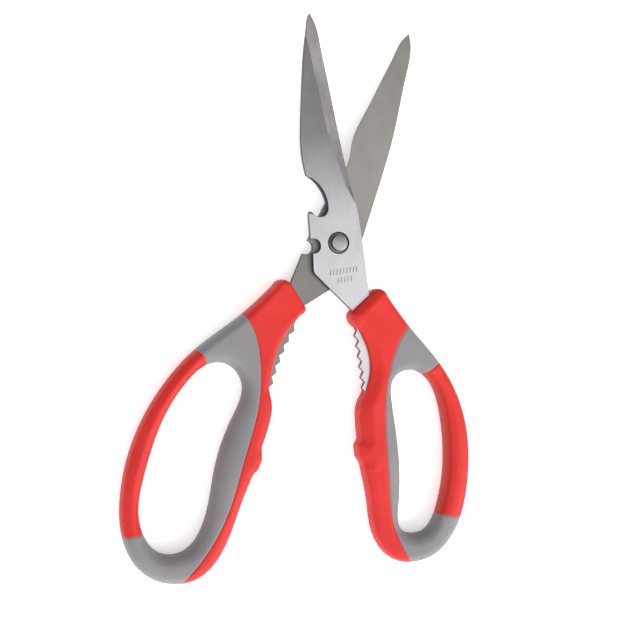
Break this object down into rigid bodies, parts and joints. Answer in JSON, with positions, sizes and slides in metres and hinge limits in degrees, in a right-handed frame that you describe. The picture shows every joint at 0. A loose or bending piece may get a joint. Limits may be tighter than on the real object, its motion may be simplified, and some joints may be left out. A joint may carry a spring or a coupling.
{
  "type": "poultry shears",
  "caption": "Poultry shears, half open: ground steel blades with bone and wire notches, toothed cracker jaws, and red handles with grey soft grips.",
  "frame": {"origin": "on the pivot axis, at the flat back face of the pivot rivet", "axes": "+Z along the pivot axis towards the front face, +Y from the pivot to the blade tips along the closing line, +X to the right seen from the front"},
  "size_m": [0.1336, 0.2186, 0.0125],
  "materials": {
    "blade_steel": "fine ground, satin",
    "rivet_steel": "turned, satin",
    "washer_steel": "dark, satin",
    "red_plastic": "fine texture, matte",
    "grey_soft_grip": "soft, matte"
  },
  "bodies": {
    "rear_half": {"rear_blade": "blade_steel", "rear_handle_core": "red_plastic", "rear_soft_grip": "grey_soft_grip", "pivot_rivet": "rivet_steel", "spring_washer": "washer_steel", "backing_washer": "washer_steel"},
    "front_half": {"front_blade": "blade_steel", "front_handle_core": "red_plastic", "front_soft_grip": "grey_soft_grip"}
  },
  "joints": [
    {"name": "blade_pivot", "type": "hinge", "parent": "rear_half", "child": "front_half", "pos_m": [0, 0, 0], "axis": [0, 0, 1], "range_deg": [-26, 90]}
  ]
}
